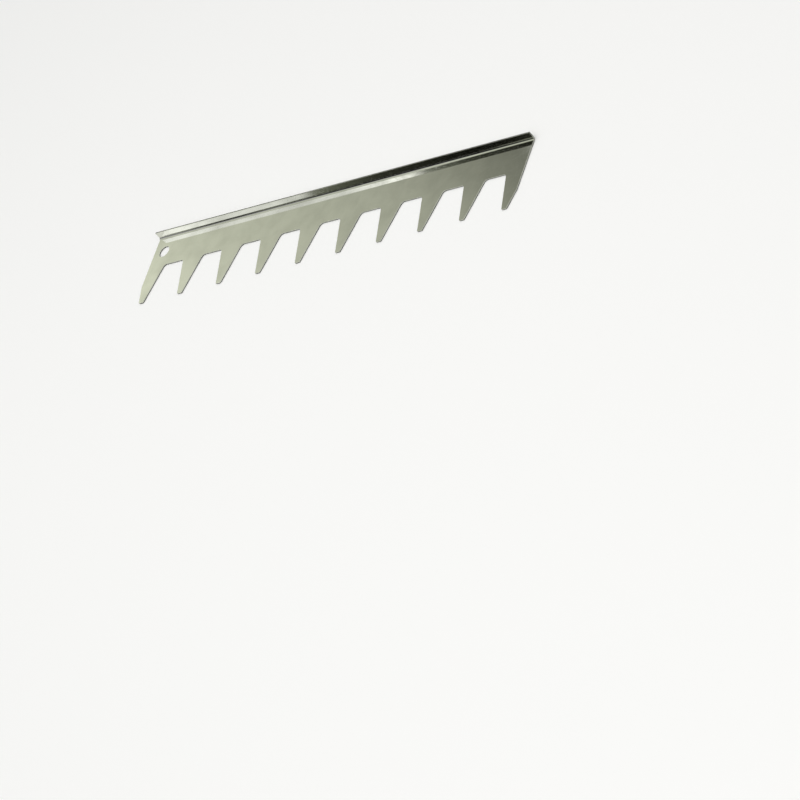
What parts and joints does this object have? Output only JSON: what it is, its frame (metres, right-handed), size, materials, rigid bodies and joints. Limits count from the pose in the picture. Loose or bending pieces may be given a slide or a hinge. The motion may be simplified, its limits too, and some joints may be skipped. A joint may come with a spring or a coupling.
{
  "type": "hive frame spacer",
  "caption": "Comb of folded stainless sheet with broad tapered teeth, a back flange to grip and a hanging hole. Its teeth set the frames of a hive box at an even spacing.",
  "frame": {"origin": "centre of the footprint, on the blade's lower face, which is the face that the tool lies on", "axes": "+X along the row of teeth, away from the hanging hole; +Y from the tips to the back flange; +Z the way the flange stands up"},
  "size_m": [0.372, 0.06, 0.007],
  "materials": {
    "stainless_blade": "satin",
    "stainless_flange": "bright"
  },
  "bodies": {
    "root": {"toothed_blade": "stainless_blade", "back_flange": "stainless_flange"}
  },
  "joints": []
}
